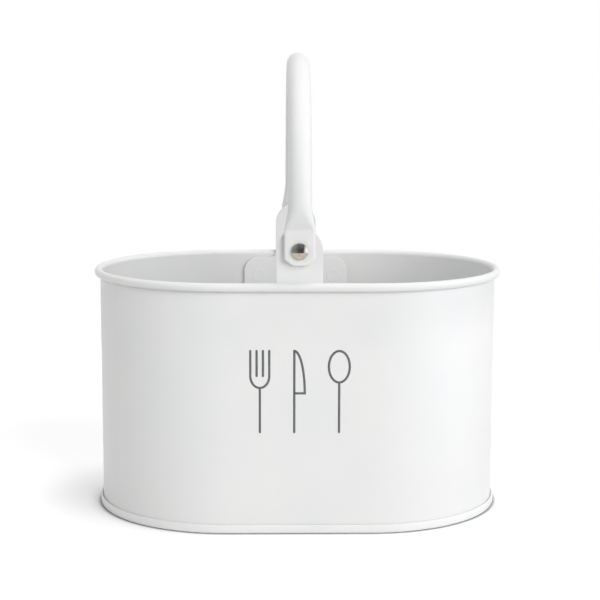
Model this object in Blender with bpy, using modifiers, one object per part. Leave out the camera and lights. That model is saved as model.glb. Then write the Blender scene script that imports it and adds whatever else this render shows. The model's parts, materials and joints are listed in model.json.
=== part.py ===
"""Free-standing cutlery caddy: an obround sheet-steel tub with a swinging tube handle.

Metres, +Z up. The origin is the middle of the underside, X runs along the tub and -Y is its front.
The handle arches from front to back over the middle and swings about the line of its two rivets.
"""

import math

import bmesh
import bpy
from mathutils import Matrix, Vector

# Clearances
GAP = 0.0003
RUNNING_CLEARANCE = 0.0001
CUT_OVERRUN = 0.002

# Tub
BODY_LENGTH = 0.250
BODY_DEPTH = 0.164
RIM_HEIGHT = 0.1515
SHEET = 0.0008

# Rolled bead at the rim
BEAD_WIDTH = 0.0046
BEAD_HEIGHT = 0.0052
BEAD_INSET = 0.00035

# Seamed base
SEAM_HEIGHT = 0.0053
SEAM_LAP = 0.0013
SEAM_TOP_RADIUS = 0.0006
SEAM_FOOT_RADIUS = 0.0008
PANEL_LIFT = 0.0030
PANEL_CORNER_RADIUS = 0.0006

# Brackets: a plate inside the wall with a tongue that rises above the rim
BRACKET_SHEET = 0.0015
PLATE_WIDTH = 0.0705
PLATE_HEIGHT = 0.0285
PLATE_BELOW_RIM = 0.0045
PLATE_CORNER_RADIUS = 0.010
TONGUE_WIDTH = 0.0273
NECK_FILLET = 0.003
WELD_INSET = 0.00975
WELD_BELOW_PLATE_TOP = 0.0128
WELD_DIAMETER = 0.0093
WELD_DEPTH = 0.0003

# Pivots
PIVOT_ABOVE_RIM = 0.0189
SHANK_DIAMETER = 0.0048
HEAD_DIAMETER = 0.0097
HEAD_RISE = 0.0032
TAIL_DIAMETER = 0.0074
TAIL_RISE = 0.0015
WASHER_DIAMETER = 0.0110
WASHER_THICKNESS = 0.0010
BURR_DIAMETER = 0.0098
BURR_THICKNESS = 0.0009

# Handle: a bent tube with pressed ends
SPRING_RISE = 0.0244
TUBE_DIAMETER = 0.0141
TUBE_WALL = 0.00105
TAB_WIDTH = 0.0186
TAB_END = 0.0085
TAB_CORNER_RADIUS = 0.0062
FOLD_BELOW_TONGUE_TOP = 0.00135
FLARE_LENGTH = 0.0148

# Fineness of the round shapes
END_STEPS = 24
CURL_STEPS = 12
CORNER_STEPS = 3
OUTLINE_STEPS = 8
TURN_STEPS = 32
DOME_STEPS = 5
ARCH_STEPS = 14
FLARE_STEPS = 6
TAB_STEPS = 5
SECTION_POINTS = 20
CURL_END_ANGLE = math.radians(-111)
TAB_SQUARENESS = 6
ROUND_SQUARENESS = 2
MERGE_DISTANCE = 0.00001

# Worked out from the sizes above
END_RADIUS = BODY_DEPTH / 2
STRAIGHT_HALF = BODY_LENGTH / 2 - END_RADIUS
PIVOT_HEIGHT = RIM_HEIGHT + PIVOT_ABOVE_RIM
BEAD_INNER_Y = END_RADIUS - SHEET - BEAD_INSET
TONGUE_OUTER_Y = BEAD_INNER_Y - GAP
TONGUE_INNER_Y = TONGUE_OUTER_Y - BRACKET_SHEET
WASHER_INNER_Y = TONGUE_OUTER_Y + GAP
TAB_THICKNESS = 2 * TUBE_WALL + GAP
TAB_INNER_Y = WASHER_INNER_Y + WASHER_THICKNESS + GAP
LEG_Y = TAB_INNER_Y + TAB_THICKNESS / 2
HEAD_INNER_Y = TAB_INNER_Y + TAB_THICKNESS + GAP
BURR_OUTER_Y = TONGUE_INNER_Y - GAP
TAIL_OUTER_Y = BURR_OUTER_Y - BURR_THICKNESS - GAP
PLATE_TOP = RIM_HEIGHT - PLATE_BELOW_RIM
WELD_HEIGHT = PLATE_TOP - WELD_BELOW_PLATE_TOP
WELD_OUT = PLATE_WIDTH / 2 - WELD_INSET
FOLD_RISE = TONGUE_WIDTH / 2 - FOLD_BELOW_TONGUE_TOP
CROWN_DISTANCE = SPRING_RISE + LEG_Y * math.pi / 2

# Colours
COAT_COLOUR = (0.83, 0.83, 0.82, 1.0)
COAT_ROUGHNESS = 0.38
NICKEL_COLOUR = (0.62, 0.58, 0.52, 1.0)
NICKEL_ROUGHNESS = 0.16
WASHER_COLOUR = (0.55, 0.56, 0.57, 1.0)
WASHER_ROUGHNESS = 0.35
SHARP_ANGLE = math.radians(40)


def clear_scene():
    for obj in list(bpy.data.objects):
        bpy.data.objects.remove(obj, do_unlink=True)


def new_collection(name):
    collection = bpy.data.collections.new(name)
    bpy.context.scene.collection.children.link(collection)
    return collection


def finish_material(name, colour, roughness, metallic):
    material = bpy.data.materials.new(name)
    material.use_nodes = True
    shader = material.node_tree.nodes["Principled BSDF"]
    shader.inputs["Base Color"].default_value = colour
    shader.inputs["Roughness"].default_value = roughness
    shader.inputs["Metallic"].default_value = metallic
    return material


def object_from_bmesh(name, bm, collection, material=None):
    """Turn a bmesh into an object, shaded smooth but for its sharp edges."""
    mesh = bpy.data.meshes.new(name)
    bm.to_mesh(mesh)
    bm.free()
    mesh.shade_smooth()
    mesh.set_sharp_from_angle(angle=SHARP_ANGLE)
    obj = bpy.data.objects.new(name, mesh)
    collection.objects.link(obj)
    if material:
        mesh.materials.append(material)
    return obj


def rounded_outline(corners, steps):
    """Points round a closed outline whose corners, (x, y, radius), are filleted."""
    points = []
    for index, (x, y, radius) in enumerate(corners):
        corner = Vector((x, y))
        before = Vector(corners[index - 1][:2])
        after = Vector(corners[(index + 1) % len(corners)][:2])
        if not radius:
            points.append(corner)
            continue
        back = (before - corner).normalized()
        ahead = (after - corner).normalized()
        half_angle = back.angle(ahead) / 2
        start = corner + back * radius / math.tan(half_angle)
        centre = corner + (back + ahead).normalized() * radius / math.sin(half_angle)
        sweep = math.pi - 2 * half_angle
        turn = 1 if back.x * ahead.y - back.y * ahead.x < 0 else -1
        for step in range(steps + 1):
            spoke = start - centre
            spoke.rotate(Matrix.Rotation(turn * sweep * step / steps, 2))
            points.append(centre + spoke)
    kept = [p for i, p in enumerate(points) if (p - points[i - 1]).length > MERGE_DISTANCE]
    return kept


def obround_sweep(name, profile, closed, collection, material):
    """Carry a profile, points (outward from the wall's outer face, z), round the obround plan."""
    bm = bmesh.new()
    verts = [bm.verts.new((-STRAIGHT_HALF, -END_RADIUS - outward, z)) for outward, z in profile]
    pairs = list(zip(verts, verts[1:]))
    if closed:
        pairs.append((verts[-1], verts[0]))
    front = [bm.edges.new(pair) for pair in pairs]

    def run(edges, distance):
        made = bmesh.ops.extrude_edge_only(bm, edges=edges)["geom"]
        moved = [item for item in made if isinstance(item, bmesh.types.BMVert)]
        bmesh.ops.translate(bm, verts=moved, vec=(distance, 0, 0))
        return [item for item in made if isinstance(item, bmesh.types.BMEdge)]

    def turn(edges, centre_x):
        geometry = edges + list({vert for edge in edges for vert in edge.verts})
        made = bmesh.ops.spin(
            bm,
            geom=geometry,
            cent=(centre_x, 0, 0),
            axis=(0, 0, 1),
            angle=math.pi,
            steps=END_STEPS,
        )["geom_last"]
        return [item for item in made if isinstance(item, bmesh.types.BMEdge)]

    edges = turn(run(front, 2 * STRAIGHT_HALF), STRAIGHT_HALF)
    turn(run(edges, -2 * STRAIGHT_HALF), -STRAIGHT_HALF)
    bmesh.ops.remove_doubles(bm, verts=bm.verts, dist=MERGE_DISTANCE)
    bmesh.ops.recalc_face_normals(bm, faces=bm.faces)
    return object_from_bmesh(name, bm, collection, material)


def turned(name, outline, closed, collection, material=None):
    """Turn an outline, points (radius, z) running down its outer side, about the local Z axis."""
    bm = bmesh.new()
    verts = [bm.verts.new((radius, 0, z)) for radius, z in outline]
    for pair in zip(verts, verts[1:]):
        bm.edges.new(pair)
    if closed:
        bm.edges.new((verts[-1], verts[0]))
    obj = object_from_bmesh(name, bm, collection, material)
    screw = obj.modifiers.new("turn", "SCREW")
    screw.axis = "Z"
    screw.steps = TURN_STEPS
    screw.render_steps = TURN_STEPS
    screw.use_merge_vertices = True
    screw.merge_threshold = MERGE_DISTANCE
    return obj


def flat_plate(name, outline, thickness, collection, material):
    """Extrude a flat outline evenly to both sides and return it as a mesh object."""
    curve = bpy.data.curves.new(name, "CURVE")
    curve.dimensions = "2D"
    curve.fill_mode = "BOTH"
    curve.extrude = thickness / 2
    spline = curve.splines.new("POLY")
    spline.points.add(len(outline) - 1)
    for point, place in zip(spline.points, outline):
        point.co = (place[0], place[1], 0, 1)
    spline.use_cyclic_u = True
    drawn = bpy.data.objects.new(name + "_outline", curve)
    collection.objects.link(drawn)
    graph = bpy.context.evaluated_depsgraph_get()
    mesh = bpy.data.meshes.new_from_object(drawn.evaluated_get(graph))
    bpy.data.objects.remove(drawn, do_unlink=True)
    bm = bmesh.new()
    bm.from_mesh(mesh)
    bpy.data.meshes.remove(mesh)
    bmesh.ops.remove_doubles(bm, verts=bm.verts, dist=MERGE_DISTANCE)
    bmesh.ops.recalc_face_normals(bm, faces=bm.faces)
    return object_from_bmesh(name, bm, collection, material)


def rod_cutter(name, radius, half_length, collection):
    bm = bmesh.new()
    bmesh.ops.create_cone(
        bm,
        cap_ends=True,
        segments=TURN_STEPS,
        radius1=radius,
        radius2=radius,
        depth=2 * half_length,
    )
    cutter = object_from_bmesh(name, bm, collection)
    cutter.hide_render = True
    cutter.display_type = "WIRE"
    return cutter


def cut(obj, cutter):
    boolean = obj.modifiers.new("cut " + cutter.name, "BOOLEAN")
    boolean.operation = "DIFFERENCE"
    boolean.object = cutter


def wall_profile():
    """The wall's sheet, its upper edge rolled outward into a bead that stays open underneath."""
    half_sheet = SHEET / 2
    half_width = (BEAD_WIDTH - SHEET) / 2
    half_height = (BEAD_HEIGHT - SHEET) / 2
    centre_out = half_width - half_sheet - BEAD_INSET
    centre_z = RIM_HEIGHT - BEAD_HEIGHT / 2
    start_angle = math.pi + math.acos((centre_out + half_sheet) / half_width)
    outer = [(0, SHEET + GAP)]
    inner = [(-SHEET, SHEET + GAP)]
    for step in range(CURL_STEPS + 1):
        angle = start_angle + (CURL_END_ANGLE - start_angle) * step / CURL_STEPS
        along = Vector((half_width * math.cos(angle), half_height * math.sin(angle)))
        normal = Vector((half_height * math.cos(angle), half_width * math.sin(angle))).normalized()
        middle = Vector((centre_out, centre_z)) + along
        rolled_in = middle - normal * half_sheet
        rolled_out = middle + normal * half_sheet
        if step:
            outer.append(tuple(rolled_in))
            inner.append(tuple(rolled_out))
        else:
            outer.append((0, rolled_in.y))
            inner.append((-SHEET, rolled_out.y))
    return outer + inner[::-1]


def base_profile():
    """The panel, the leg inside the wall, the foot under it and the seam outside it."""
    leg_inner = -SHEET - GAP - SHEET
    leg_outer = -SHEET - GAP
    seam_inner = GAP
    seam_outer = GAP + SEAM_LAP
    panel_top = PANEL_LIFT + SHEET
    corners = [
        (-END_RADIUS, panel_top, 0),
        (leg_outer, panel_top, PANEL_CORNER_RADIUS),
        (leg_outer, SHEET, 0),
        (seam_inner, SHEET, 0),
        (seam_inner, SEAM_HEIGHT, 0),
        (seam_outer, SEAM_HEIGHT, SEAM_TOP_RADIUS),
        (seam_outer, 0, SEAM_FOOT_RADIUS),
        (leg_inner, 0, PANEL_CORNER_RADIUS),
        (leg_inner, PANEL_LIFT, 0),
        (-END_RADIUS, PANEL_LIFT, 0),
    ]
    return [tuple(point) for point in rounded_outline(corners, CORNER_STEPS)]


def bracket_outline():
    """Plate and tongue seen from the front, with z measured from the table."""
    plate = PLATE_WIDTH / 2
    tongue = TONGUE_WIDTH / 2
    tongue_top = PIVOT_HEIGHT + tongue
    plate_foot = PLATE_TOP - PLATE_HEIGHT
    corners = [
        (-plate, plate_foot, PLATE_CORNER_RADIUS),
        (plate, plate_foot, PLATE_CORNER_RADIUS),
        (plate, PLATE_TOP, PLATE_CORNER_RADIUS),
        (tongue, PLATE_TOP, NECK_FILLET),
        (tongue, tongue_top, tongue),
        (-tongue, tongue_top, tongue),
        (-tongue, PLATE_TOP, NECK_FILLET),
        (-plate, PLATE_TOP, PLATE_CORNER_RADIUS),
    ]
    return rounded_outline(corners, OUTLINE_STEPS)


def facing(side):
    """Rotation that takes local Z outward: to the front (-1) or to the rear (+1)."""
    return Matrix.Rotation(-side * math.pi / 2, 4, "X")


def make_bracket(name, side, parts, cutters, coat):
    bracket = flat_plate(name, bracket_outline(), BRACKET_SHEET, parts, coat)
    middle_y = (TONGUE_INNER_Y + TONGUE_OUTER_Y) / 2
    upright = Matrix.Rotation(math.pi / 2, 4, "X")
    bracket.matrix_world = Matrix.Translation((0, side * middle_y, 0)) @ upright
    hole = rod_cutter(name + "_hole", SHANK_DIAMETER / 2 + GAP, BRACKET_SHEET + CUT_OVERRUN, cutters)
    hole.matrix_world = Matrix.Translation((0, side * middle_y, PIVOT_HEIGHT)) @ facing(side)
    cut(bracket, hole)
    mark_y = side * (TONGUE_INNER_Y + WELD_DEPTH - CUT_OVERRUN)
    for place, x in (("left", -WELD_OUT), ("right", WELD_OUT)):
        mark = rod_cutter(f"{name}_weld_{place}", WELD_DIAMETER / 2, CUT_OVERRUN, cutters)
        mark.matrix_world = Matrix.Translation((x, mark_y, WELD_HEIGHT)) @ facing(side)
        cut(bracket, mark)
    return bracket


def dome(radius, rise, base, direction):
    """Points of a cap from its crown to its edge, rising from base along direction."""
    sphere = (radius * radius + rise * rise) / (2 * rise)
    edge_angle = math.asin(radius / sphere)
    points = []
    for step in range(DOME_STEPS + 1):
        angle = edge_angle * step / DOME_STEPS
        height = sphere * math.cos(angle) - (sphere - rise)
        points.append((sphere * math.sin(angle), base + direction * height))
    return points


def make_rivet(name, side, parts, nickel):
    """Domed head, shank and clinched tail; local Z is the distance from the tub's middle plane."""
    shank = SHANK_DIAMETER / 2
    head = dome(HEAD_DIAMETER / 2, HEAD_RISE, HEAD_INNER_Y, 1)
    tail = dome(TAIL_DIAMETER / 2, TAIL_RISE, TAIL_OUTER_Y, -1)
    outline = head + [(shank, HEAD_INNER_Y), (shank, TAIL_OUTER_Y)] + tail[::-1]
    rivet = turned(name, outline, False, parts, nickel)
    rivet.matrix_world = Matrix.Translation((0, 0, PIVOT_HEIGHT)) @ facing(side)
    return rivet


def make_ring(name, side, diameter, inner_y, thickness, parts, material):
    bore = SHANK_DIAMETER / 2 + GAP
    radius = diameter / 2
    outline = [
        (bore, inner_y + thickness),
        (radius, inner_y + thickness),
        (radius, inner_y),
        (bore, inner_y),
    ]
    ring = turned(name, outline, True, parts, material)
    ring.matrix_world = Matrix.Translation((0, 0, PIVOT_HEIGHT)) @ facing(side)
    return ring


def squared_section(half_width, half_depth, squareness):
    """Points round a section that runs from an ellipse (2) towards a rectangle (higher)."""
    points = []
    for step in range(SECTION_POINTS):
        angle = 2 * math.pi * step / SECTION_POINTS
        across = math.copysign(abs(math.cos(angle)) ** (2 / squareness), math.cos(angle))
        through = math.copysign(abs(math.sin(angle)) ** (2 / squareness), math.sin(angle))
        points.append((half_width * across, half_depth * through))
    return points


def along_handle(distance):
    """Middle of the tube, and its outward direction, this far along it above the front pivot."""
    angle = max(0, distance - SPRING_RISE) / LEG_Y
    outward = Vector((0, -math.cos(angle), math.sin(angle)))
    return Vector((0, 0, min(distance, SPRING_RISE))) + LEG_Y * outward, outward


def handle_stations():
    """Along the front half, from tab end to crown: (centre, outward, half width, half depth, squareness)."""
    stations = []
    tube = TUBE_DIAMETER / 2
    flat = TAB_THICKNESS / 2
    tab = TAB_WIDTH / 2
    for step in range(TAB_STEPS + 1):
        angle = math.pi / 2 * step / TAB_STEPS
        distance = -TAB_END + TAB_CORNER_RADIUS * (1 - math.cos(angle))
        width = tab - TAB_CORNER_RADIUS * (1 - math.sin(angle))
        stations.append((*along_handle(distance), width, flat, TAB_SQUARENESS))
    for step in range(FLARE_STEPS + 1):
        share = step / FLARE_STEPS
        roundness = share + share ** 2 - share ** 3
        width = tab + (tube - tab) * roundness
        depth = flat + (tube - flat) * roundness
        squareness = TAB_SQUARENESS + (ROUND_SQUARENESS - TAB_SQUARENESS) * roundness
        stations.append((*along_handle(FOLD_RISE + FLARE_LENGTH * share), width, depth, squareness))
    flare_end = FOLD_RISE + FLARE_LENGTH
    for step in range(1, ARCH_STEPS + 1):
        distance = flare_end + (CROWN_DISTANCE - flare_end) * step / ARCH_STEPS
        stations.append((*along_handle(distance), tube, tube, ROUND_SQUARENESS))
    return stations


def make_handle(parts, cutters, coat):
    """Front half of the bent tube, inside and out, mirrored to the rear and pierced at both tabs."""
    bm = bmesh.new()
    sideways = Vector((1, 0, 0))
    skins = []
    for inset in (0, TUBE_WALL):
        loops = []
        for centre, outward, width, depth, squareness in handle_stations():
            section = squared_section(width - inset, depth - inset, squareness)
            loops.append([bm.verts.new(centre + sideways * x + outward * y) for x, y in section])
        skins.append(loops)
    outer, inner = skins
    for loops in (outer, inner):
        for lower, upper in zip(loops, loops[1:]):
            for i in range(SECTION_POINTS):
                j = (i + 1) % SECTION_POINTS
                bm.faces.new((lower[i], lower[j], upper[j], upper[i]))
    for i in range(SECTION_POINTS):
        j = (i + 1) % SECTION_POINTS
        bm.faces.new((outer[0][i], inner[0][i], inner[0][j], outer[0][j]))
    bmesh.ops.recalc_face_normals(bm, faces=bm.faces)
    handle = object_from_bmesh("handle", bm, parts, coat)
    handle.location = (0, 0, PIVOT_HEIGHT)
    mirror = handle.modifiers.new("rear half", "MIRROR")
    mirror.use_axis = (False, True, False)
    mirror.merge_threshold = MERGE_DISTANCE
    pivot = rod_cutter(
        "handle_pivot_hole",
        SHANK_DIAMETER / 2 + RUNNING_CLEARANCE,
        HEAD_INNER_Y + CUT_OVERRUN,
        cutters,
    )
    pivot.matrix_world = Matrix.Translation((0, 0, PIVOT_HEIGHT)) @ facing(-1)
    cut(handle, pivot)
    return handle


def main():
    clear_scene()
    parts = new_collection("cutlery caddy")
    cutters = new_collection("cutters")
    coat = finish_material("white powder coat", COAT_COLOUR, COAT_ROUGHNESS, 0.0)
    nickel = finish_material("nickel", NICKEL_COLOUR, NICKEL_ROUGHNESS, 1.0)
    zinc = finish_material("zinc", WASHER_COLOUR, WASHER_ROUGHNESS, 1.0)
    obround_sweep("body_wall", wall_profile(), True, parts, coat)
    obround_sweep("base_pan", base_profile(), False, parts, coat)
    for place, side in (("front", -1), ("rear", 1)):
        make_bracket(place + "_bracket", side, parts, cutters, coat)
        make_rivet(place + "_rivet", side, parts, nickel)
        make_ring(place + "_washer", side, WASHER_DIAMETER, WASHER_INNER_Y, WASHER_THICKNESS, parts, zinc)
        burr_inner = BURR_OUTER_Y - BURR_THICKNESS
        make_ring(place + "_burr", side, BURR_DIAMETER, burr_inner, BURR_THICKNESS, parts, nickel)
    make_handle(parts, cutters, coat)


main()
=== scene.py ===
import json
import math

import bmesh
import bpy
from mathutils import Matrix, Vector


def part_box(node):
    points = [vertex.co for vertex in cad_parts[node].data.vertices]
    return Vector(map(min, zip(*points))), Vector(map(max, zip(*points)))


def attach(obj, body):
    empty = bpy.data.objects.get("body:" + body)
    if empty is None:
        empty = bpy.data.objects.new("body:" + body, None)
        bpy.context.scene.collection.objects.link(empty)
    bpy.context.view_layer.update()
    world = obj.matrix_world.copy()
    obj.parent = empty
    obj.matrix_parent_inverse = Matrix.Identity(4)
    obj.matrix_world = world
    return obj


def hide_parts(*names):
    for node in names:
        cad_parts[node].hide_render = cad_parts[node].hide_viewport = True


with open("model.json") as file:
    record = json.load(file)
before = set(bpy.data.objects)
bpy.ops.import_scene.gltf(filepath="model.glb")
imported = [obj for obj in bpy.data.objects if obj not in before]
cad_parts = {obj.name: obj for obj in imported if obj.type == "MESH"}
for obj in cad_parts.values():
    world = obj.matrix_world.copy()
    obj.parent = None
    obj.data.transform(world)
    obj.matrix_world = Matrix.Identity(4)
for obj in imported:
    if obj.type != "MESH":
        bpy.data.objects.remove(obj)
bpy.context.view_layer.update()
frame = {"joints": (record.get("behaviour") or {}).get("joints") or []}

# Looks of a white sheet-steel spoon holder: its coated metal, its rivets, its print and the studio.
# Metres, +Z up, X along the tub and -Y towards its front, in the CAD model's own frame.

# Places taken from the frame
WALL_LOW, WALL_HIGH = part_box("body_wall")
BASE_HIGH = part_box("base_pan")[1]
BRACKET_LOW, BRACKET_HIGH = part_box("rear_bracket")
WASHER_LOW, WASHER_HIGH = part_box("rear_washer")
BURR_LOW, BURR_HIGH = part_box("rear_burr")
RIVET_LOW, RIVET_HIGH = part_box("rear_rivet")
HANDLE_LOW, HANDLE_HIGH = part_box("handle")
PIVOT_Z = frame["joints"][0]["pos_m"][2]

# Sheet metal of the tub
GAP = 0.0003
SHEET = 0.0008
BEAD_WIDTH = 0.0046
BEAD_HEIGHT = 0.0052
BEAD_INSET = 0.00035
CURL_END_ANGLE = math.radians(-111)
SEAM_TOP_RADIUS = 0.0006
SEAM_FOOT_RADIUS = 0.0011
SEAM_GROOVE = 0.0012
SEAM_CREST_OUT = 0.0004
SEAM_CREST_RADIUS = 0.0003
PANEL_LIFT = 0.0030
PANEL_CORNER_RADIUS = 0.0006
END_RADIUS = WALL_HIGH.y - BEAD_WIDTH + SHEET + BEAD_INSET
STRAIGHT_HALF = WALL_HIGH.x - WALL_HIGH.y

# The wall's own closing weld, a shallow line down the left end
WELD_LINE_ANGLE = math.radians(215.7)
WELD_LINE_HALF = 0.0005
WELD_LINE_DEPTH = 0.0002
WELD_LINE_STEPS = 3

# Brackets and their spot welds
PLATE_HEIGHT = 0.0285
PLATE_CORNER_RADIUS = 0.010
NECK_FILLET = 0.003
BRACKET_EDGE_ROUND = 0.00028
BRACKET_EDGE_STEPS = 3
TONGUE_HALF = BRACKET_HIGH.z - PIVOT_Z
PLATE_HALF = BRACKET_HIGH.x
PLATE_TOP_Z = BRACKET_LOW.z + PLATE_HEIGHT
SPOT_X = 0.0255
SPOT_BELOW_TOP = 0.0128
SPOT_RADIUS = 0.00465
SPOT_RISE = 0.00016
SPOT_ROOT = 0.0004
# Shares of the radius and of the rise, from the mark's middle outward
SPOT_SHARES = ((0, 0.15), (0.45, 0.2), (0.72, 0.45), (0.86, 1.0), (0.94, 0.9), (1.0, 0.0))

# Pivots
SHANK_RADIUS = 0.0024
HEAD_RADIUS = RIVET_HIGH.x
HEAD_RISE = 0.0032
HEAD_EDGE = 0.0011
TAIL_EDGE = 0.00035
TAIL_RADIUS = 0.0037
TAIL_RISE = 0.0015
RING_EDGE_ROUND = 0.00018

# Handle
TUBE_RADIUS = 0.00705
TUBE_WALL = 0.00105
TAB_THICKNESS = 2 * TUBE_WALL + GAP
TAB_HALF = HANDLE_HIGH.x
TAB_FOOT = PIVOT_Z - HANDLE_LOW.z
TAB_CORNER_ACROSS = 0.0062
TAB_CORNER_UP = 0.0043
TAB_CORNER_POWER = 1.35
TAB_EDGE_ROUND = 0.00045
# Divides the rounding of a tab's end, once across the tab and twice along it
TAB_EDGE_EASE = 3
FOLD_RISE = 0.0123
FOLD_HALF = 0.00035
FLARE_LENGTH = 0.0148
FLARE_POWER = 1.45
RUNNING_CLEARANCE = 0.0001
LEG_Y = WASHER_HIGH.y + GAP + TAB_THICKNESS / 2
SPRING_RISE = HANDLE_HIGH.z - TUBE_RADIUS - LEG_Y - PIVOT_Z
CROWN_DISTANCE = SPRING_RISE + LEG_Y * math.pi / 2

# Print on the front: a fork, a knife and a spoon in thin line
PRINT_STROKE = 0.00136
PRINT_PROUD = 0.00004
PRINT_THICKNESS = 0.00003
# Each stroke lies this much above the last, so that no two share a plane
PRINT_STEP_UP = 0.000004
PRINT_FOOT_Z = 0.062
PRINT_TOP_Z = 0.111
PRINT_SPACING = 0.0235
FORK_HALF = 0.0056
FORK_TINE = 0.0150
FORK_CUP = 0.0072
SPOON_HALF = 0.0062
SPOON_BOWL = 0.0190
KNIFE_WIDTH = 0.0062
KNIFE_BLADE = 0.0255

# Fineness
END_STEPS = 72
STRAIGHT_STEPS = 12
CURL_STEPS = 26
FILLET_STEPS = 6
TURN_STEPS = 64
DOME_STEPS = 14
SECTION_POINTS = 48
TAB_STEPS = 10
FLARE_STEPS = 16
ARCH_STEPS = 56
PRINT_ARC_STEPS = 24
# Least cosine that counts where a stroke bends, so that its mitre stays short
MITRE_LEAST = 0.5
MERGE_DISTANCE = 0.000004
PRINT_MERGE_DISTANCE = MERGE_DISTANCE / 10
SHARP_ANGLE = math.radians(40)

# Finishes
# Colours are as the surface shows them in plain light. A texture has its scale in features a metre,
# its detail, its roughness and its stretch. A spread is the part of a texture's values that a finish
# runs over. A bump has its height in metres and its strength.
COAT_WHITE = (0.845, 0.845, 0.838, 1)
COAT_COOL = (0.815, 0.820, 0.822, 1)
COAT_THIN = (0.74, 0.74, 0.73, 1)
COAT_SPECULAR = 0.32
COAT_ROUGHNESS = (0.38, 0.46)
COAT_PATCHES = (22.0, 4.0)
COAT_PATCH_SPREAD = (0.35, 0.65)
COAT_PEEL = (760.0, 2.0)
COAT_PEEL_SPREAD = (0.3, 0.7)
COAT_PEEL_BUMP = (0.00004, 0.22)
COAT_GRAIN = (2600.0, 2.0)
COAT_GRAIN_BUMP = (0.00001, 0.15)
COAT_WAVES = (17.0, 1.0)
COAT_WAVE_BUMP = (0.0006, 0.10)
COAT_EDGE_SPREAD = (0.53, 0.62)
COAT_EDGE_WEAR = (0.0, 0.55)

NICKEL = (0.47, 0.415, 0.355, 1)
NICKEL_DULL = (0.37, 0.325, 0.28, 1)
NICKEL_ROUGHNESS = (0.07, 0.17)
NICKEL_CLOUD = (420.0, 4.0)
NICKEL_CLOUD_SPREAD = (0.38, 0.68)
NICKEL_CLOUD_BUMP = (0.00006, 0.25)
NICKEL_MARKS = (1500.0, 3.0, 0.6, (1.0, 1.0, 7.0))
NICKEL_MARK_SPREAD = (0.3, 0.75)
NICKEL_MARK_BUMP = (0.00001, 0.2)

ZINC = (0.55, 0.56, 0.57, 1)
ZINC_DULL = (0.42, 0.43, 0.44, 1)
ZINC_ROUGHNESS = (0.28, 0.42)
ZINC_GRAIN = (1800.0, 4.0)
ZINC_TONE_SPREAD = (0.35, 0.65)
ZINC_GLOSS_SPREAD = (0.3, 0.7)
ZINC_GRAIN_BUMP = (0.00002, 0.3)

INK = (0.128, 0.130, 0.132, 1)
INK_THIN = (0.20, 0.202, 0.204, 1)
INK_SPECULAR = 0.35
INK_ROUGHNESS = (0.5, 0.62)
INK_BLOTS = (900.0, 5.0, 0.6)
INK_TONE_SPREAD = (0.45, 0.75)
INK_GLOSS_SPREAD = (0.3, 0.7)
INK_BLOT_BUMP = (0.00002, 0.3)

FULL_RANGE = (0.0, 1.0)
WHITE_LIGHT = (1, 1, 1, 1)

# The Mix node's sockets for colours
MIX_A = 6
MIX_B = 7
MIX_RESULT = 2

# Camera, its focal length measured in the picture's pixels
CAMERA_PLACE = (-0.016, -1.008, 0.2818)
CAMERA_YAW = math.radians(1.0)
CAMERA_PITCH = math.radians(8.62)
CAMERA_ROLL = math.radians(0.12)
CAMERA_SENSOR = 36.0
CAMERA_FOCAL_PIXELS = 1596
PICTURE_WIDTH_PIXELS = 600
CAMERA_LENS = CAMERA_SENSOR * CAMERA_FOCAL_PIXELS / PICTURE_WIDTH_PIXELS

# Floor
FLOOR_RADIUS = 0.6
FLOOR_COLOUR = (0.70, 0.70, 0.70, 1)
FLOOR_SHOWN = (0.98, 0.98, 0.98, 1)
FLOOR_LIFT = (0.0, 0.25)
# Painted shadow: the floor's lift fades out where the tub hides the floor within this reach
FLOOR_PAINTED_SHADOW_REACH = 0.011
FLOOR_PAINTED_SHADOW_SPREAD = (0.5, 1.0)
# Painted contact shade: within this reach of the tub, the floor's seen colour darkens towards a shade
# colour
FLOOR_PAINTED_CONTACT_REACH = 0.004
FLOOR_PAINTED_CONTACT_SPREAD = (0.45, 0.9)
FLOOR_PAINTED_CONTACT_SHADE = (0.27, 0.27, 0.27, 1)

# Light
WORLD_LIGHT = 0.37
WORLD_SHOWN = 1.0
# Azimuth and elevation in degrees, distance, size and power in watts
LAMPS = {
    "key": (40, 20, 5.0, 4.0, 178.0),
    "left_fill": (-70, 20, 5.0, 3.6, 61.0),
    "top": (108, 76, 4.0, 1.5, 50.0),
}
LAMP_AIM = Vector((0, 0, 0.12))

# Card that reflections show
# Angles in degrees. A glow has a spread of places, or of a texture's values, and its strengths there
CARD_DISTANCE = 7.0
CARD_HALF_ANGLE = 95
CARD_TOP_ANGLE = 80
CARD_LOW_ANGLE = -30
CARD_STEP = 5
CARD_TINT = (0.90, 1.0, 1.12, 1)
CARD_GLOW = 0.09
CARD_LEFT_GLOW = ((-6.5, -1.5), (0.40, 0.0))
CARD_WINDOW_GLOW = ((4.2, 6.6), (0.0, 2.3))
CARD_CEILING_GLOW = ((2.5, 6.5), (0.0, 0.22))
CARD_CLOUD = (0.5, 2.0)
CARD_CLOUD_GLOW = ((0.40, 0.65), (0.0, 0.12))


def link(tree, start, start_socket, end, end_socket):
    """Join one node's output to another's input."""
    tree.links.new(start.outputs[start_socket], end.inputs[end_socket])


def node(tree, kind, inputs=None, **settings):
    """Add a node with its own settings and the values of its inputs."""
    made = tree.nodes.new(kind)
    for name, value in settings.items():
        setattr(made, name, value)
    for name, value in (inputs or {}).items():
        made.inputs[name].default_value = value
    return made


def noise(tree, place, scale, detail, roughness=0.5, stretch=None):
    """Noise in object space, scale in features a metre."""
    if stretch:
        mapping = node(tree, "ShaderNodeMapping", {"Scale": stretch})
        link(tree, place, "Object", mapping, "Vector")
        place, socket = mapping, "Vector"
    else:
        socket = "Object"
    made = node(tree, "ShaderNodeTexNoise", {"Scale": scale, "Detail": detail, "Roughness": roughness})
    link(tree, place, socket, made, "Vector")
    return made


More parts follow.
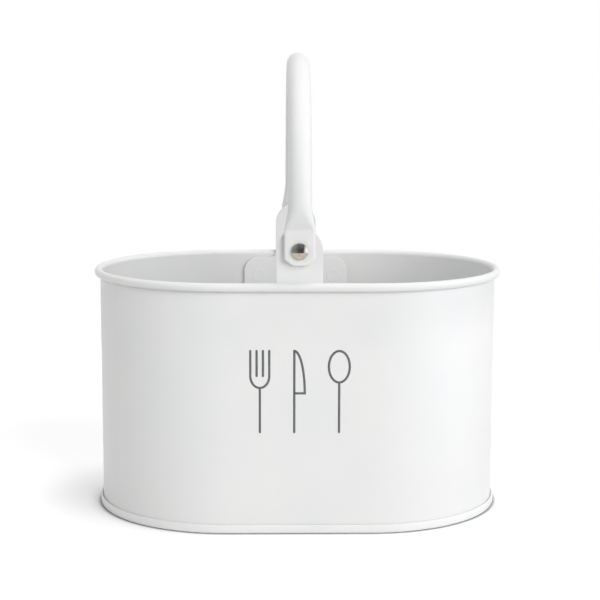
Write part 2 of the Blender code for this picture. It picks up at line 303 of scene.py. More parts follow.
def mapped(tree, source, socket, spread, result):
    """Map a value's spread, (low, high), to a result, (at low, at high)."""
    made = node(
        tree,
        "ShaderNodeMapRange",
        {"From Min": spread[0], "From Max": spread[1], "To Min": result[0], "To Max": result[1]},
    )
    link(tree, source, socket, made, "Value")
    return made


def mixed(tree, factor, colour_a, colour_b):
    """Mix two colours, each given as a colour or as another mix."""
    made = node(tree, "ShaderNodeMix", data_type="RGBA")
    link(tree, factor, 0, made, 0)
    for socket, colour in ((MIX_A, colour_a), (MIX_B, colour_b)):
        if isinstance(colour, tuple):
            made.inputs[socket].default_value = colour
        else:
            link(tree, colour, MIX_RESULT, made, socket)
    return made


def new_material(name, metallic, specular=0.5):
    """A material with its node tree and its Principled shader."""
    material = bpy.data.materials.new(name)
    material.use_nodes = True
    tree = material.node_tree
    shader = tree.nodes["Principled BSDF"]
    shader.inputs["Metallic"].default_value = metallic
    shader.inputs["Specular IOR Level"].default_value = specular
    return material, tree, shader


def empty_material(name):
    """A material with its node tree, which has no nodes yet."""
    material = bpy.data.materials.new(name)
    material.use_nodes = True
    material.node_tree.nodes.clear()
    return material, material.node_tree


def bumps(tree, shader, layers):
    """Chain bump nodes, (height node, distance in metres, strength), into the shader's normal."""
    before = None
    for source, distance, strength in layers:
        made = node(tree, "ShaderNodeBump", {"Distance": distance, "Strength": strength})
        link(tree, source, 0, made, "Height")
        if before:
            link(tree, before, 0, made, "Normal")
        before = made
    link(tree, before, 0, shader, "Normal")


def coat_material():
    """Satin white powder coat: fine orange peel over sheet that isn't quite flat, thin along edges."""
    material, tree, shader = new_material("white powder coat", 0.0, COAT_SPECULAR)
    place = node(tree, "ShaderNodeTexCoord")
    patches = noise(tree, place, *COAT_PATCHES)
    peel = noise(tree, place, *COAT_PEEL)
    grain = noise(tree, place, *COAT_GRAIN)
    waves = noise(tree, place, *COAT_WAVES)
    tone = mapped(tree, patches, 0, COAT_PATCH_SPREAD, FULL_RANGE)
    body = mixed(tree, tone, COAT_WHITE, COAT_COOL)
    shape = node(tree, "ShaderNodeNewGeometry")
    edge = mapped(tree, shape, "Pointiness", COAT_EDGE_SPREAD, COAT_EDGE_WEAR)
    worn = mixed(tree, edge, body, COAT_THIN)
    link(tree, worn, MIX_RESULT, shader, "Base Color")
    gloss = mapped(tree, peel, 0, COAT_PEEL_SPREAD, COAT_ROUGHNESS)
    link(tree, gloss, 0, shader, "Roughness")
    bumps(tree, shader, [(waves, *COAT_WAVE_BUMP), (peel, *COAT_PEEL_BUMP), (grain, *COAT_GRAIN_BUMP)])
    return material


def nickel_material():
    """Polished nickel with faint handling marks."""
    material, tree, shader = new_material("nickel", 1.0)
    place = node(tree, "ShaderNodeTexCoord")
    cloud = noise(tree, place, *NICKEL_CLOUD)
    marks = noise(tree, place, *NICKEL_MARKS)
    tone = mapped(tree, cloud, 0, NICKEL_CLOUD_SPREAD, FULL_RANGE)
    body = mixed(tree, tone, NICKEL, NICKEL_DULL)
    link(tree, body, MIX_RESULT, shader, "Base Color")
    gloss = mapped(tree, marks, 0, NICKEL_MARK_SPREAD, NICKEL_ROUGHNESS)
    link(tree, gloss, 0, shader, "Roughness")
    bumps(tree, shader, [(cloud, *NICKEL_CLOUD_BUMP), (marks, *NICKEL_MARK_BUMP)])
    return material


def zinc_material():
    """Zinc-plated washer, slightly grainy."""
    material, tree, shader = new_material("zinc", 1.0)
    place = node(tree, "ShaderNodeTexCoord")
    grain = noise(tree, place, *ZINC_GRAIN)
    tone = mapped(tree, grain, 0, ZINC_TONE_SPREAD, FULL_RANGE)
    body = mixed(tree, tone, ZINC, ZINC_DULL)
    link(tree, body, MIX_RESULT, shader, "Base Color")
    gloss = mapped(tree, grain, 0, ZINC_GLOSS_SPREAD, ZINC_ROUGHNESS)
    link(tree, gloss, 0, shader, "Roughness")
    bumps(tree, shader, [(grain, *ZINC_GRAIN_BUMP)])
    return material


def ink_material():
    """Matt grey screen print, a little thinner here and there."""
    material, tree, shader = new_material("grey ink", 0.0, INK_SPECULAR)
    place = node(tree, "ShaderNodeTexCoord")
    blots = noise(tree, place, *INK_BLOTS)
    tone = mapped(tree, blots, 0, INK_TONE_SPREAD, FULL_RANGE)
    body = mixed(tree, tone, INK, INK_THIN)
    link(tree, body, MIX_RESULT, shader, "Base Color")
    gloss = mapped(tree, blots, 0, INK_GLOSS_SPREAD, INK_ROUGHNESS)
    link(tree, gloss, 0, shader, "Roughness")
    bumps(tree, shader, [(blots, *INK_BLOT_BUMP)])
    return material


def object_of(name, bm, material):
    """A smooth-shaded object of a mesh whose doubled points are merged."""
    bmesh.ops.remove_doubles(bm, verts=bm.verts, dist=MERGE_DISTANCE)
    bmesh.ops.dissolve_degenerate(bm, edges=bm.edges, dist=MERGE_DISTANCE)
    bmesh.ops.recalc_face_normals(bm, faces=bm.faces)
    mesh = bpy.data.meshes.new(name)
    bm.to_mesh(mesh)
    bm.free()
    mesh.shade_smooth()
    mesh.set_sharp_from_angle(angle=SHARP_ANGLE)
    mesh.materials.append(material)
    obj = bpy.data.objects.new(name, mesh)
    bpy.context.scene.collection.objects.link(obj)
    return obj


def lofted(name, rings, ring_closed, rings_closed, material):
    """Quads between neighbouring rings of points."""
    bm = bmesh.new()
    rows = [[bm.verts.new(point) for point in points] for points in rings]
    pairs = list(zip(rows, rows[1:]))
    if rings_closed:
        pairs.append((rows[-1], rows[0]))
    count = len(rows[0])
    for row, following in pairs:
        for i in range(count if ring_closed else count - 1):
            j = (i + 1) % count
            bm.faces.new((row[i], row[j], following[j], following[i]))
    return object_of(name, bm, material)


def rounded(corners, steps):
    """Points round an outline whose corners, (x, y, radius), are filleted."""
    points = []
    for index, (x, y, radius) in enumerate(corners):
        corner = Vector((x, y))
        if not radius:
            points.append(corner)
            continue
        back = (Vector(corners[index - 1][:2]) - corner).normalized()
        ahead = (Vector(corners[(index + 1) % len(corners)][:2]) - corner).normalized()
        half_angle = back.angle(ahead) / 2
        start = corner + back * radius / math.tan(half_angle)
        centre = corner + (back + ahead).normalized() * radius / math.sin(half_angle)
        sweep = math.pi - 2 * half_angle
        turn = 1 if back.x * ahead.y - back.y * ahead.x < 0 else -1
        for step in range(steps + 1):
            spoke = start - centre
            spoke.rotate(Matrix.Rotation(turn * sweep * step / steps, 2))
            points.append(centre + spoke)
    return [p for i, p in enumerate(points) if (p - points[i - 1]).length > MERGE_DISTANCE]


def plan_stations():
    """Round the obround plan: (middle of the arc, angle), closer together at the weld line."""
    front, rear = -math.pi / 2, math.pi / 2
    stations = []
    for side, start_x in ((front, -STRAIGHT_HALF), (rear, STRAIGHT_HALF)):
        for step in range(STRAIGHT_STEPS):
            stations.append((start_x * (1 - 2 * step / STRAIGHT_STEPS), side))
        angles = {side + math.pi * step / END_STEPS for step in range(END_STEPS)}
        if start_x > 0:
            fine = WELD_LINE_HALF / WELD_LINE_STEPS / END_RADIUS
            steps = range(-2 * WELD_LINE_STEPS, 2 * WELD_LINE_STEPS)
            angles |= {WELD_LINE_ANGLE + fine * (step + 0.5) for step in steps}
        stations += [(-start_x, angle) for angle in sorted(angles)]
    return stations


def weld_line_dip(centre_x, angle):
    """How deep the closing weld's line lies below the wall's outer face here."""
    if centre_x > 0:
        return 0.0
    off = abs(angle - WELD_LINE_ANGLE) * END_RADIUS / WELD_LINE_HALF
    return WELD_LINE_DEPTH * math.exp(-off * off)


def swept(name, profile, ring_closed, material, welded=False):
    """Carry a profile, (outward from the wall's outer face, z), round the plan."""
    rings = []
    for centre_x, angle in plan_stations():
        dip = weld_line_dip(centre_x, angle) if welded else 0.0
        spoke = Vector((math.cos(angle), math.sin(angle), 0))
        rings.append([
            Vector((centre_x, 0, z)) + spoke * (END_RADIUS + outward - (dip if outward == 0 else 0))
            for outward, z in profile
        ])
    return lofted(name, rings, ring_closed, True, material)


def wall_profile():
    """The wall's sheet and its rolled bead, open underneath."""
    half_sheet = SHEET / 2
    half_width = (BEAD_WIDTH - SHEET) / 2
    half_height = (BEAD_HEIGHT - SHEET) / 2
    centre_out = half_width - half_sheet - BEAD_INSET
    centre_z = WALL_HIGH.z - BEAD_HEIGHT / 2
    start_angle = math.pi + math.acos((centre_out + half_sheet) / half_width)
    outer = [(0, WALL_LOW.z)]
    inner = [(-SHEET, WALL_LOW.z)]
    for step in range(CURL_STEPS + 1):
        angle = start_angle + (CURL_END_ANGLE - start_angle) * step / CURL_STEPS
        along = Vector((half_width * math.cos(angle), half_height * math.sin(angle)))
        normal = Vector((half_height * math.cos(angle), half_width * math.sin(angle))).normalized()
        middle = Vector((centre_out, centre_z)) + along
        rolled_in = middle - normal * half_sheet
        rolled_out = middle + normal * half_sheet
        outer.append((0 if not step else rolled_in.x, rolled_in.y))
        inner.append((-SHEET if not step else rolled_out.x, rolled_out.y))
    return outer + inner[::-1]


def base_profile():
    """The panel, the leg inside the wall, the foot and the seam outside, grooved along the wall."""
    leg_inner = -SHEET - GAP - SHEET
    leg_outer = -SHEET - GAP
    seam_inner = GAP
    seam_outer = BASE_HIGH.y - END_RADIUS
    seam_top = BASE_HIGH.z
    panel_top = PANEL_LIFT + SHEET
    corners = [
        (-END_RADIUS, panel_top, 0),
        (leg_outer, panel_top, PANEL_CORNER_RADIUS),
        (leg_outer, SHEET, 0),
        (seam_inner, SHEET, 0),
        (seam_inner, seam_top - SEAM_GROOVE - GAP, 0),
        (0, seam_top - SEAM_GROOVE, 0),
        (seam_inner + SEAM_CREST_OUT, seam_top, SEAM_CREST_RADIUS),
        (seam_outer, seam_top, SEAM_TOP_RADIUS),
        (seam_outer, 0, SEAM_FOOT_RADIUS),
        (leg_inner, 0, PANEL_CORNER_RADIUS),
        (leg_inner, PANEL_LIFT, 0),
        (-END_RADIUS, PANEL_LIFT, 0),
    ]
    return [tuple(point) for point in rounded(corners, FILLET_STEPS)]


def bracket_corners():
    """Outline of plate and tongue: (x, z, corner radius)."""
    return [
        (-PLATE_HALF, BRACKET_LOW.z, PLATE_CORNER_RADIUS),
        (PLATE_HALF, BRACKET_LOW.z, PLATE_CORNER_RADIUS),
        (PLATE_HALF, PLATE_TOP_Z, PLATE_CORNER_RADIUS),
        (TONGUE_HALF, PLATE_TOP_Z, NECK_FILLET),
        (TONGUE_HALF, BRACKET_HIGH.z, TONGUE_HALF),
        (-TONGUE_HALF, BRACKET_HIGH.z, TONGUE_HALF),
        (-TONGUE_HALF, PLATE_TOP_Z, NECK_FILLET),
        (-PLATE_HALF, PLATE_TOP_Z, PLATE_CORNER_RADIUS),
    ]


def outline_spline(curve, points):
    """Add a closed outline to a flat curve."""
    spline = curve.splines.new("POLY")
    spline.points.add(len(points) - 1)
    for point, place in zip(spline.points, points):
        point.co = (place[0], place[1], 0, 1)
    spline.use_cyclic_u = True


def made_mesh(obj):
    """The evaluated mesh of an object, which is then removed."""
    graph = bpy.context.evaluated_depsgraph_get()
    mesh = bpy.data.meshes.new_from_object(obj.evaluated_get(graph))
    bpy.data.objects.remove(obj, do_unlink=True)
    return mesh


def facing(side):
    """Rotation that takes local Z outward: to the front (-1) or to the rear (+1)."""
    return Matrix.Rotation(-side * math.pi / 2, 4, "X")


def bracket(name, side, material):
    """Plate and tongue with rounded edges and a hole for the rivet."""
    thickness = BRACKET_HIGH.y - BRACKET_LOW.y
    curve = bpy.data.curves.new(name, "CURVE")
    curve.dimensions = "2D"
    curve.fill_mode = "BOTH"
    curve.extrude = thickness / 2 - BRACKET_EDGE_ROUND
    curve.bevel_depth = BRACKET_EDGE_ROUND
    curve.bevel_resolution = BRACKET_EDGE_STEPS
    curve.offset = -BRACKET_EDGE_ROUND
    outline_spline(curve, rounded(bracket_corners(), 2 * FILLET_STEPS))
    hole = SHANK_RADIUS + GAP
    turns = [2 * math.pi * step / TURN_STEPS for step in range(TURN_STEPS)]
    outline_spline(curve, [(hole * math.cos(a), PIVOT_Z + hole * math.sin(a)) for a in turns])
    drawn = bpy.data.objects.new(name + "_drawn", curve)
    bpy.context.scene.collection.objects.link(drawn)
    mesh = made_mesh(drawn)
    bm = bmesh.new()
    bm.from_mesh(mesh)
    middle_y = side * (BRACKET_LOW.y + BRACKET_HIGH.y) / 2
    bm.transform(Matrix.Translation((0, middle_y, 0)) @ Matrix.Rotation(math.pi / 2, 4, "X"))
    piece = object_of(name, bm, material)
    weighted = piece.modifiers.new("flat faces stay flat", "WEIGHTED_NORMAL")
    weighted.keep_sharp = True
    return piece


def turned(name, outline, closed, place, side, material):
    """Turn an outline, (radius, distance from the tub's middle plane), about an axis through place."""
    rings = []
    matrix = Matrix.Translation(place) @ facing(side)
    for step in range(TURN_STEPS):
        angle = 2 * math.pi * step / TURN_STEPS
        across, up = math.cos(angle), math.sin(angle)
        rings.append([matrix @ Vector((r * across, r * up, z)) for r, z in outline])
    return lofted(name, rings, closed, True, material)


def dome(radius, rise, base, direction, edge):
    """A cap from its crown to its edge, whose last stretch stands straight for the height edge."""
    cap = rise - edge
    sphere = (radius * radius + cap * cap) / (2 * cap)
    edge_angle = math.asin(radius / sphere)
    points = []
    for step in range(DOME_STEPS + 1):
        angle = edge_angle * step / DOME_STEPS
        height = edge + sphere * math.cos(angle) - (sphere - cap)
        points.append((sphere * math.sin(angle), base + direction * height))
    points.append((radius, base))
    return points


def rivet(name, side, material):
    """Domed head, shank and clinched tail in one turned piece."""
    head_base = RIVET_HIGH.y - HEAD_RISE
    tail_base = RIVET_LOW.y + TAIL_RISE
    head = dome(HEAD_RADIUS, HEAD_RISE, head_base, 1, HEAD_EDGE)
    tail = dome(TAIL_RADIUS, TAIL_RISE, tail_base, -1, TAIL_EDGE)
    outline = head + [(SHANK_RADIUS, head_base), (SHANK_RADIUS, tail_base)] + tail[::-1]
    return turned(name, outline, False, (0, 0, PIVOT_Z), side, material)


def ring(name, side, low, high, material):
    """A flat ring with rounded edges that fills a washer's or burr's box."""
    bore = SHANK_RADIUS + GAP
    corners = [
        (bore, high.y, RING_EDGE_ROUND),
        (high.x, high.y, RING_EDGE_ROUND),
        (high.x, low.y, RING_EDGE_ROUND),
        (bore, low.y, RING_EDGE_ROUND),
    ]
    outline = [tuple(point) for point in rounded(corners, FILLET_STEPS)]
    return turned(name, outline, True, (0, 0, PIVOT_Z), side, material)


def spot_mark(name, side, x, material):
    """A spot weld on the plate's inner face: a low ring round a dished middle."""
    face = BRACKET_LOW.y
    outline = [(SPOT_RADIUS * out, face - SPOT_RISE * rise) for out, rise in SPOT_SHARES]
    outline += [(SPOT_RADIUS, face + SPOT_ROOT), (0, face + SPOT_ROOT)]
    return turned(name, outline, False, (x, 0, PLATE_TOP_Z - SPOT_BELOW_TOP), side, material)


def stadium(half_width, half_depth):
    """Points evenly round a flat oval with round sides."""
    flat = max(0.0, half_width - half_depth)
    quarter = math.pi * half_depth / 2
    length = 4 * flat + 4 * quarter
    points = []
    for step in range(SECTION_POINTS):
        along = length * step / SECTION_POINTS
        turn = 1
        if along > length / 2:
            along -= length / 2
            turn = -1
        if along < quarter:
            angle = along / half_depth
            x, y = flat + half_depth * math.cos(angle), half_depth * math.sin(angle)
        elif along < quarter + 2 * flat:
            x, y = flat - (along - quarter), half_depth
        else:
            angle = (along - 2 * flat) / half_depth
            x, y = -flat + half_depth * math.cos(angle), half_depth * math.sin(angle)
        points.append((turn * x, turn * y))
    return points


def along_handle(distance):
    """Middle of the tube, and its outward direction, this far along it above the front pivot."""
    angle = max(0, distance - SPRING_RISE) / LEG_Y
    outward = Vector((0, -math.cos(angle), math.sin(angle)))
    return Vector((0, 0, PIVOT_Z + min(distance, SPRING_RISE))) + LEG_Y * outward, outward


def handle_stations():
    """From the front tab's end to the crown: (distance above the pivot, half width, half depth)."""
    flat = TAB_THICKNESS / 2
    stations = [(-TAB_FOOT, TAB_HALF - TAB_CORNER_ACROSS - TAB_EDGE_ROUND, flat - TAB_EDGE_ROUND)]
    for step in range(TAB_STEPS + 1):
        angle = math.pi / 2 * step / TAB_STEPS
        rise = TAB_CORNER_UP * (1 - math.cos(angle) ** (2 / TAB_CORNER_POWER))
        width = TAB_HALF - TAB_CORNER_ACROSS * (1 - math.sin(angle) ** (2 / TAB_CORNER_POWER))
        inset = TAB_EDGE_ROUND * max(0.0, 1 - rise / TAB_EDGE_ROUND) ** 2
        eased = inset / TAB_EDGE_EASE
        stations.append((-TAB_FOOT + rise + inset / TAB_EDGE_EASE**2, width - eased, flat - eased))
    stations.append((FOLD_RISE - FOLD_HALF, TAB_HALF, flat))
    shares = [FOLD_HALF / FLARE_LENGTH] + [(step + 1) / FLARE_STEPS for step in range(FLARE_STEPS)]
    for share in shares:
        roundness = 1 - (1 - share) ** FLARE_POWER
        width = TAB_HALF + (TUBE_RADIUS - TAB_HALF) * roundness
        depth = flat + (TUBE_RADIUS - flat) * roundness
        stations.append((FOLD_RISE + FLARE_LENGTH * share, width, depth))
    flare_end = FOLD_RISE + FLARE_LENGTH
    for step in range(1, ARCH_STEPS + 1):
        distance = flare_end + (CROWN_DISTANCE - flare_end) * step / ARCH_STEPS
        stations.append((distance, TUBE_RADIUS, TUBE_RADIUS))
    return stations


def handle_rings(inset):
    """Sections from the front tab's end to the rear one's, this far inside the tube's outside."""
    rings = []
    for distance, width, depth in handle_stations():
        centre, outward = along_handle(distance)
        section = stadium(width - inset, max(depth - inset, GAP / 2))
        rings.append([centre + Vector((x, 0, 0)) + outward * y for x, y in section])
    rear = [[Vector((p.x, -p.y, p.z)) for p in ring_points] for ring_points in rings[-2::-1]]
    return rings + rear


def pivot_drill(name, material):
    """A rod along the pivots' line, as long as the handle is deep."""
    bm = bmesh.new()
    bmesh.ops.create_cone(
        bm,
        cap_ends=True,
        segments=TURN_STEPS,
        radius1=SHANK_RADIUS + RUNNING_CLEARANCE,
        radius2=SHANK_RADIUS + RUNNING_CLEARANCE,
        depth=2 * HANDLE_HIGH.y,
        matrix=Matrix.Translation((0, 0, PIVOT_Z)) @ facing(1),
    )
    return object_of(name, bm, material)


def handle(name, material):
    """The bent tube with its pressed, pierced ends, hollow right through."""
    skins = handle_rings(0) + handle_rings(TUBE_WALL)[::-1]
    tube = lofted(name + "_tube", skins, True, True, material)
    drill = pivot_drill(name + "_drill", material)
    pierced = tube.modifiers.new("pivot holes", "BOOLEAN")
    pierced.operation = "DIFFERENCE"
    pierced.solver = "EXACT"
    pierced.object = drill
    bpy.context.view_layer.update()
    mesh = made_mesh(tube)
    bpy.data.objects.remove(drill, do_unlink=True)
    bm = bmesh.new()
    bm.from_mesh(mesh)
    return object_of(name, bm, material)


def dress(piece, body, node_name=None):
    """Let a piece ride on a body, and hide the node that it replaces."""
    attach(piece, body)
    if node_name:
        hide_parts(node_name)
    return piece


def arc(centre_x, centre_z, half_x, half_z, start, end):
    """Points on an ellipse, angles in degrees."""
    points = []
    for step in range(PRINT_ARC_STEPS + 1):
        angle = math.radians(start + (end - start) * step / PRINT_ARC_STEPS)
        x = centre_x + half_x * math.cos(angle)
        z = centre_z + half_z * math.sin(angle)
        points.append(Vector((x, z)))
    return points


def fork_strokes(x):
    """Outer tines with their cup, stem and two inner tines."""
    cup_z = PRINT_TOP_Z - FORK_TINE
    outer = [Vector((x - FORK_HALF, PRINT_TOP_Z))]
    outer += arc(x, cup_z, FORK_HALF, FORK_CUP, 180, 360)
    outer += [Vector((x + FORK_HALF, PRINT_TOP_Z))]
    inner = FORK_HALF / 3
    foot = cup_z - FORK_CUP
    strokes = [outer, [Vector((x, foot)), Vector((x, PRINT_FOOT_Z))]]
    for tine_x in (x - inner, x + inner):
        strokes.append([Vector((tine_x, PRINT_TOP_Z)), Vector((tine_x, cup_z))])
    return strokes


def knife_strokes(x):
    """One line up the spine, round the blade's edge and back at its shoulder."""
    spine = x - KNIFE_WIDTH / 2
    shoulder_z = PRINT_TOP_Z - KNIFE_BLADE
    edge = arc(spine, shoulder_z, KNIFE_WIDTH, KNIFE_BLADE, 90, 0)
    blade = [Vector((spine, PRINT_FOOT_Z)), Vector((spine, PRINT_TOP_Z))] + edge[1:]
    return [blade + [Vector((spine + PRINT_STROKE / 2, shoulder_z))]]


def spoon_strokes(x):
    """An oval bowl and its stem."""
    bowl_z = PRINT_TOP_Z - SPOON_BOWL / 2
    bowl = arc(x, bowl_z, SPOON_HALF, SPOON_BOWL / 2, -90, 270)
    return [bowl, [Vector((x, PRINT_TOP_Z - SPOON_BOWL)), Vector((x, PRINT_FOOT_Z))]]


def stroke_sides(points, closed):
    """Both edges of a ribbon along points, mitred where it bends."""
    half = PRINT_STROKE / 2
    sides = []
    for i, point in enumerate(points):
        behind = point - points[i - 1]
        ahead = points[(i + 1) % len(points)] - point
        if not closed and i == 0:
            behind = ahead
        if not closed and i == len(points) - 1:
            ahead = behind
        along_in = behind.normalized()
        along_out = ahead.normalized()
        across_in = Vector((-along_in.y, along_in.x))
        across_out = Vector((-along_out.y, along_out.x))
        across = (across_in + across_out).normalized()
        across *= half / max(MITRE_LEAST, across.dot(across_in))
        sides.append((point + across, point - across))
    return sides


def stroke_tip(tip, neighbour):
    """The half disc that rounds off a stroke's end."""
    away = math.atan2((tip - neighbour).y, (tip - neighbour).x)
    steps = PRINT_ARC_STEPS // 2
    angles = [away - math.pi / 2 + math.pi * step / steps for step in range(steps + 1)]
    return [tip + PRINT_STROKE / 2 * Vector((math.cos(a), math.sin(a))) for a in angles]


def add_stroke(bm, points, lift):
    """A flat ribbon with round ends along points (x, z), standing this proud of the wall."""
    closed = (points[0] - points[-1]).length < MERGE_DISTANCE
    if closed:
        points = points[:-1]
    sides = stroke_sides(points, closed)
    pairs = list(zip(sides, sides[1:]))
    if closed:
        pairs.insert(0, (sides[-1], sides[0]))
    flat = [(a, c, d, b) for (a, b), (c, d) in pairs]
    if not closed:
        flat.append(stroke_tip(points[0], points[1]))
        flat.append(stroke_tip(points[-1], points[-2]))
    for corners in flat:
        bm.faces.new([bm.verts.new((p.x, -END_RADIUS - lift, p.y)) for p in corners])


def print_piece(name, material):
    """The three drawings as thin slabs of ink on the front wall."""
    bm = bmesh.new()
    strokes = fork_strokes(-PRINT_SPACING) + knife_strokes(0.0) + spoon_strokes(PRINT_SPACING)
    for count, points in enumerate(strokes):
        add_stroke(bm, points, PRINT_PROUD + PRINT_STEP_UP * count)
    bmesh.ops.remove_doubles(bm, verts=bm.verts, dist=PRINT_MERGE_DISTANCE)
    bmesh.ops.recalc_face_normals(bm, faces=bm.faces)
    piece = object_of(name, bm, material)
    film = piece.modifiers.new("ink film", "SOLIDIFY")
    film.thickness = PRINT_THICKNESS
    film.offset = -1
    return piece


def ray_kind_factor(tree):
    """1 for camera, glossy and transmission rays, which show things, and 0 for rays that light them."""
    path = node(tree, "ShaderNodeLightPath")
    first = node(tree, "ShaderNodeMath", operation="MAXIMUM")
    link(tree, path, "Is Camera Ray", first, 0)
    link(tree, path, "Is Glossy Ray", first, 1)
    second = node(tree, "ShaderNodeMath", operation="MAXIMUM")
    link(tree, first, 0, second, 0)
    link(tree, path, "Is Transmission Ray", second, 1)
    return second


def make_world():
    """Dim light from all round, and plain white where the background is seen or reflected."""
    world = bpy.data.worlds.new("studio")
    bpy.context.scene.world = world
    world.use_nodes = True
    tree = world.node_tree
    tree.nodes.clear()
    out = node(tree, "ShaderNodeOutputWorld")
    light = node(tree, "ShaderNodeBackground", {"Color": WHITE_LIGHT, "Strength": WORLD_LIGHT})
    shown = node(tree, "ShaderNodeBackground", {"Color": WHITE_LIGHT, "Strength": WORLD_SHOWN})
    mix = node(tree, "ShaderNodeMixShader")
    link(tree, ray_kind_factor(tree), 0, mix, 0)
    link(tree, light, 0, mix, 1)
    link(tree, shown, 0, mix, 2)
    link(tree, mix, 0, out, "Surface")


def floor_material():
    """White paper: plain for the light it throws back, lifted where seen but not close to the tub,
    where painted shade darkens it.
    """
    material, tree = empty_material("floor paper")
    out = node(tree, "ShaderNodeOutputMaterial")
    paper = node(tree, "ShaderNodeBsdfDiffuse", {"Color": FLOOR_COLOUR})
    shown = node(tree, "ShaderNodeBsdfDiffuse")
    # Painted contact shade: where the tub is close, the seen colour darkens by occlusion
    painted_contact_occlusion = node(tree, "ShaderNodeAmbientOcclusion", {"Distance": FLOOR_PAINTED_CONTACT_REACH})
    painted_contact_mask = mapped(tree, painted_contact_occlusion, "AO", FLOOR_PAINTED_CONTACT_SPREAD, FULL_RANGE)
    tone = mixed(tree, painted_contact_mask, FLOOR_PAINTED_CONTACT_SHADE, FLOOR_SHOWN)
    link(tree, tone, MIX_RESULT, shown, "Color")
    lift = node(tree, "ShaderNodeEmission", {"Color": WHITE_LIGHT})
    # Painted shadow: the lift fades by occlusion where the tub is near
    painted_shadow_occlusion = node(tree, "ShaderNodeAmbientOcclusion", {"Distance": FLOOR_PAINTED_SHADOW_REACH})
    strength = mapped(tree, painted_shadow_occlusion, "AO", FLOOR_PAINTED_SHADOW_SPREAD, FLOOR_LIFT)
    link(tree, strength, 0, lift, "Strength")
    lifted = node(tree, "ShaderNodeAddShader")
    link(tree, shown, 0, lifted, 0)
    link(tree, lift, 0, lifted, 1)
    mix = node(tree, "ShaderNodeMixShader")
    link(tree, ray_kind_factor(tree), 0, mix, 0)
    link(tree, paper, 0, mix, 1)
    link(tree, lifted, 0, mix, 2)
    link(tree, mix, 0, out, "Surface")
    return material


def make_floor():
    """A round sheet of paper under the tub."""
    bm = bmesh.new()
    bmesh.ops.create_circle(bm, cap_ends=True, segments=2 * TURN_STEPS, radius=FLOOR_RADIUS)
    floor = object_of("floor", bm, floor_material())


def sky_point(azimuth, elevation, distance):
    """A place seen from the object: azimuth from the front towards the right, in radians."""
    level = distance * math.cos(elevation)
    height = distance * math.sin(elevation)
    return Vector((level * math.sin(azimuth), -level * math.cos(azimuth), height))


def card_material():
    """A dim room that grows paler to the left and overhead, with a bright window to the right."""
    material, tree = empty_material("dark card")
    place = node(tree, "ShaderNodeTexCoord")
    split = node(tree, "ShaderNodeSeparateXYZ")
    link(tree, place, "Object", split, "Vector")
    cloud = noise(tree, place, *CARD_CLOUD)
    glows = [
        mapped(tree, split, "X", *CARD_LEFT_GLOW),
        mapped(tree, split, "X", *CARD_WINDOW_GLOW),
        mapped(tree, split, "Z", *CARD_CEILING_GLOW),
        mapped(tree, cloud, 0, *CARD_CLOUD_GLOW),
    ]
    total = node(tree, "ShaderNodeValue")
    total.outputs[0].default_value = CARD_GLOW
    for glow in glows:
        summed = node(tree, "ShaderNodeMath", operation="ADD")
        link(tree, total, 0, summed, 0)
        link(tree, glow, 0, summed, 1)
        total = summed
    light = node(tree, "ShaderNodeEmission", {"Color": CARD_TINT})
    link(tree, total, 0, light, "Strength")
    out = node(tree, "ShaderNodeOutputMaterial")
    link(tree, light, 0, out, "Surface")
    return material


def make_card():
    """The room behind the camera, seen only in reflections."""
    rings = []
    for azimuth in range(-CARD_HALF_ANGLE, CARD_HALF_ANGLE + 1, CARD_STEP):
        column = []
        for elevation in range(CARD_LOW_ANGLE, CARD_TOP_ANGLE + 1, CARD_STEP):
            column.append(sky_point(math.radians(azimuth), math.radians(elevation), CARD_DISTANCE))
        rings.append(column)
    card = lofted("dark_card", rings, False, False, card_material())
    card.visible_camera = False
    card.visible_diffuse = False
    card.visible_shadow = False
    card.visible_transmission = False


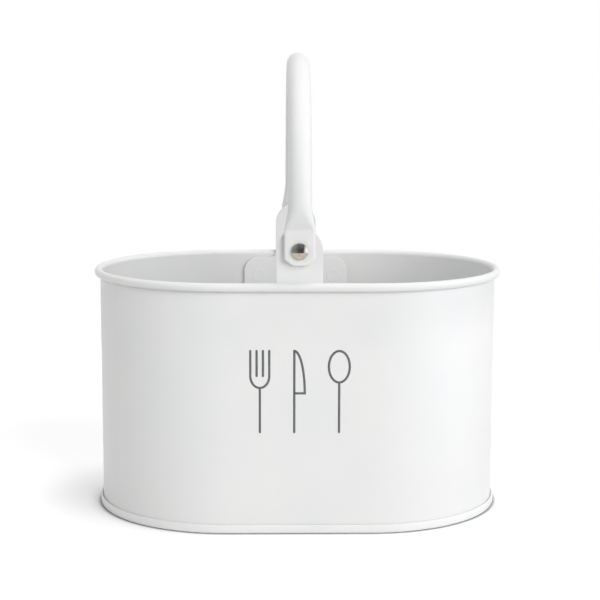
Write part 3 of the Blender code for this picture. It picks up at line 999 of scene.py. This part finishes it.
def make_lamps():
    """Large soft lamps, which reflections don't show."""
    for name, (azimuth, elevation, distance, size, power) in LAMPS.items():
        light = bpy.data.lights.new(name, "AREA")
        light.shape = "SQUARE"
        light.size = size
        light.energy = power
        lamp = bpy.data.objects.new(name, light)
        lamp.location = LAMP_AIM + sky_point(math.radians(azimuth), math.radians(elevation), distance)
        lamp.rotation_euler = (LAMP_AIM - lamp.location).to_track_quat("-Z", "Y").to_euler()
        lamp.visible_glossy = False
        bpy.context.scene.collection.objects.link(lamp)


def make_camera():
    """The photograph's view: turned a little to the right, pitched down and slightly rolled."""
    data = bpy.data.cameras.new("camera")
    data.sensor_width = CAMERA_SENSOR
    data.lens = CAMERA_LENS
    camera = bpy.data.objects.new("camera", data)
    forward = Vector((
        math.sin(CAMERA_YAW) * math.cos(CAMERA_PITCH),
        math.cos(CAMERA_YAW) * math.cos(CAMERA_PITCH),
        -math.sin(CAMERA_PITCH),
    ))
    level = Vector((math.cos(CAMERA_YAW), -math.sin(CAMERA_YAW), 0))
    raised = level.cross(forward)
    right = level * math.cos(CAMERA_ROLL) + raised * math.sin(CAMERA_ROLL)
    up = right.cross(forward)
    turn = Matrix((right, up, -forward)).transposed().to_4x4()
    camera.matrix_world = Matrix.Translation(CAMERA_PLACE) @ turn
    bpy.context.scene.collection.objects.link(camera)
    bpy.context.scene.camera = camera


def make_holder():
    """Every piece with its body, finish and node."""
    coat, nickel, zinc = coat_material(), nickel_material(), zinc_material()
    wall = swept("wall_sheet", wall_profile(), True, coat, welded=True)
    dress(wall, "tub", "body_wall")
    base = swept("base_sheet", base_profile(), False, coat)
    dress(base, "tub", "base_pan")
    for place, side in (("front", -1), ("rear", 1)):
        bracket_piece = bracket(place + "_bracket_plate", side, coat)
        dress(bracket_piece, "tub", place + "_bracket")
        for hand, x in (("left", -SPOT_X), ("right", SPOT_X)):
            dress(spot_mark(f"{place}_spot_weld_{hand}", side, x, coat), "tub")
        dress(rivet(place + "_rivet_turned", side, nickel), "tub", place + "_rivet")
        washer = ring(place + "_washer_ring", side, WASHER_LOW, WASHER_HIGH, zinc)
        dress(washer, "tub", place + "_washer")
        burr = ring(place + "_burr_ring", side, BURR_LOW, BURR_HIGH, nickel)
        dress(burr, "tub", place + "_burr")
    dress(print_piece("front_print", ink_material()), "tub")
    dress(handle("handle_tube", coat), "handle", "handle")


make_camera()
make_world()
make_floor()
make_card()
make_lamps()
make_holder()
bpy.context.scene.view_settings.view_transform = "Standard"
